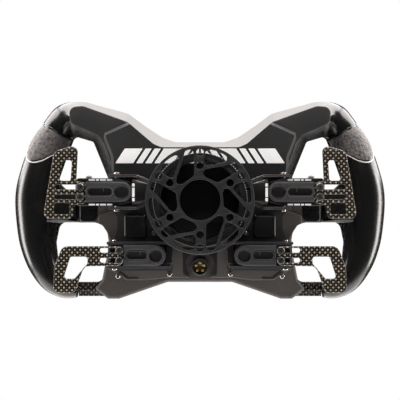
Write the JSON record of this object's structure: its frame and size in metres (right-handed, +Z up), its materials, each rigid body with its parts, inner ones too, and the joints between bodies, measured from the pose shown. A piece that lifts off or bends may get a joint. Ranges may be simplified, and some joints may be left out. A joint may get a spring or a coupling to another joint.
{
  "type": "sim racing wheel",
  "caption": "Formula-style racing wheel with carbon front plate, two grips, rear shifter and clutch paddles, round mounting disc, buttons and rotary knobs.",
  "frame": {"origin": "centre of the mounting disc's rear face, on the steering axis", "axes": "+X to the right seen from behind, +Y towards the driver, +Z up"},
  "size_m": [0.2858, 0.0733, 0.1517],
  "materials": {
    "anodised": "satin anodised, near black",
    "matt_black": "matt black, fine texture",
    "satin_black": "satin black",
    "nylon_grey": "dark grey sintered nylon",
    "module_grey": "satin grey",
    "carbon": "lacquered carbon fibre weave",
    "grip_black": "smooth satin black",
    "pad_grey": "fine grained grey",
    "steel": "turned and polished",
    "circuit_green": "solder mask",
    "smoked": "smoked, glossy"
  },
  "bodies": {
    "wheel": {"mounting_disc": "anodised", "hub_cup": "anodised", "upper_cover": "matt_black", "upper_casing": "satin_black", "lower_cover": "nylon_grey", "lower_casing": "nylon_grey", "socket_shell": "satin_black", "socket_insert": "matt_black", "circuit_board": "circuit_green", "front_plate": "carbon", "light_bar": "smoked", "left_grip": "grip_black", "right_grip": "grip_black", "left_grip_pad": "pad_grey", "right_grip_pad": "pad_grey", "left_sensor_box": "matt_black", "right_sensor_box": "matt_black", "left_shifter_holder": "module_grey", "right_shifter_holder": "module_grey", "left_shifter_pivot_pin": "steel", "right_shifter_pivot_pin": "steel", "left_clutch_holder": "module_grey", "right_clutch_holder": "module_grey", "left_clutch_pivot_pin": "steel", "right_clutch_pivot_pin": "steel"},
    "left_shifter": {"left_shifter_lever": "module_grey", "left_shifter_paddle": "carbon", "left_shifter_upper_screw": "steel", "left_shifter_lower_screw": "steel", "left_shifter_magnet": "steel"},
    "left_clutch": {"left_clutch_lever": "module_grey", "left_clutch_paddle": "carbon", "left_clutch_upper_screw": "steel", "left_clutch_lower_screw": "steel"},
    "left_push_button_1": {"left_button_1": "grip_black"},
    "left_push_button_2": {"left_button_2": "grip_black"},
    "left_push_button_3": {"left_button_3": "grip_black"},
    "left_push_button_4": {"left_button_4": "grip_black"},
    "left_thumb_encoder": {"left_thumb_wheel": "grip_black"},
    "right_shifter": {"right_shifter_lever": "module_grey", "right_shifter_paddle": "carbon", "right_shifter_upper_screw": "steel", "right_shifter_lower_screw": "steel", "right_shifter_magnet": "steel"},
    "right_clutch": {"right_clutch_lever": "module_grey", "right_clutch_paddle": "carbon", "right_clutch_upper_screw": "steel", "right_clutch_lower_screw": "steel"},
    "right_push_button_1": {"right_button_1": "grip_black"},
    "right_push_button_2": {"right_button_2": "grip_black"},
    "right_push_button_3": {"right_button_3": "grip_black"},
    "right_push_button_4": {"right_button_4": "grip_black"},
    "right_thumb_encoder": {"right_thumb_wheel": "grip_black"},
    "left_rotary": {"left_knob": "satin_black"},
    "middle_rotary": {"middle_knob": "satin_black"},
    "right_rotary": {"right_knob": "satin_black"}
  },
  "joints": [
    {"name": "left_shifter_pull", "type": "hinge", "parent": "wheel", "child": "left_shifter", "pos_m": [-0.0625, 0.0205, 0.006], "axis": [0, 0, -1], "range_deg": [0, 5], "stiffness_Nm_per_rad": 1.5, "springref_deg": -5.73},
    {"name": "left_clutch_pull", "type": "hinge", "parent": "wheel", "child": "left_clutch", "pos_m": [-0.064, 0.0205, -0.0412], "axis": [0, 0, -1], "range_deg": [0, 12], "stiffness_Nm_per_rad": 0.6, "springref_deg": -14.32},
    {"name": "left_button_1_press", "type": "slide", "parent": "wheel", "child": "left_push_button_1", "axis": [0, -1, 0], "range_m": [0, 0.0012], "stiffness_N_per_m": 1500, "springref_m": -0.001},
    {"name": "left_button_2_press", "type": "slide", "parent": "wheel", "child": "left_push_button_2", "axis": [0, -1, 0], "range_m": [0, 0.0012], "stiffness_N_per_m": 1500, "springref_m": -0.001},
    {"name": "left_button_3_press", "type": "slide", "parent": "wheel", "child": "left_push_button_3", "axis": [0, -1, 0], "range_m": [0, 0.0012], "stiffness_N_per_m": 1500, "springref_m": -0.001},
    {"name": "left_button_4_press", "type": "slide", "parent": "wheel", "child": "left_push_button_4", "axis": [0, -1, 0], "range_m": [0, 0.0012], "stiffness_N_per_m": 1500, "springref_m": -0.001},
    {"name": "left_thumb_roll", "type": "hinge", "parent": "wheel", "child": "left_thumb_encoder", "pos_m": [-0.081, 0.0615, -0.0048], "axis": [1, 0, 0], "continuous": true},
    {"name": "right_shifter_pull", "type": "hinge", "parent": "wheel", "child": "right_shifter", "pos_m": [0.0625, 0.0205, 0.006], "axis": [0, 0, 1], "range_deg": [0, 5], "stiffness_Nm_per_rad": 1.5, "springref_deg": -5.73},
    {"name": "right_clutch_pull", "type": "hinge", "parent": "wheel", "child": "right_clutch", "pos_m": [0.064, 0.0205, -0.0412], "axis": [0, 0, 1], "range_deg": [0, 12], "stiffness_Nm_per_rad": 0.6, "springref_deg": -14.32},
    {"name": "right_button_1_press", "type": "slide", "parent": "wheel", "child": "right_push_button_1", "axis": [0, -1, 0], "range_m": [0, 0.0012], "stiffness_N_per_m": 1500, "springref_m": -0.001},
    {"name": "right_button_2_press", "type": "slide", "parent": "wheel", "child": "right_push_button_2", "axis": [0, -1, 0], "range_m": [0, 0.0012], "stiffness_N_per_m": 1500, "springref_m": -0.001},
    {"name": "right_button_3_press", "type": "slide", "parent": "wheel", "child": "right_push_button_3", "axis": [0, -1, 0], "range_m": [0, 0.0012], "stiffness_N_per_m": 1500, "springref_m": -0.001},
    {"name": "right_button_4_press", "type": "slide", "parent": "wheel", "child": "right_push_button_4", "axis": [0, -1, 0], "range_m": [0, 0.0012], "stiffness_N_per_m": 1500, "springref_m": -0.001},
    {"name": "right_thumb_roll", "type": "hinge", "parent": "wheel", "child": "right_thumb_encoder", "pos_m": [0.081, 0.0615, -0.0048], "axis": [1, 0, 0], "continuous": true},
    {"name": "left_knob_turn", "type": "hinge", "parent": "wheel", "child": "left_rotary", "pos_m": [-0.04, 0.067, -0.043], "axis": [0, 1, 0], "continuous": true},
    {"name": "middle_knob_turn", "type": "hinge", "parent": "wheel", "child": "middle_rotary", "pos_m": [0, 0.067, -0.044], "axis": [0, 1, 0], "continuous": true},
    {"name": "right_knob_turn", "type": "hinge", "parent": "wheel", "child": "right_rotary", "pos_m": [0.04, 0.067, -0.043], "axis": [0, 1, 0], "continuous": true}
  ]
}
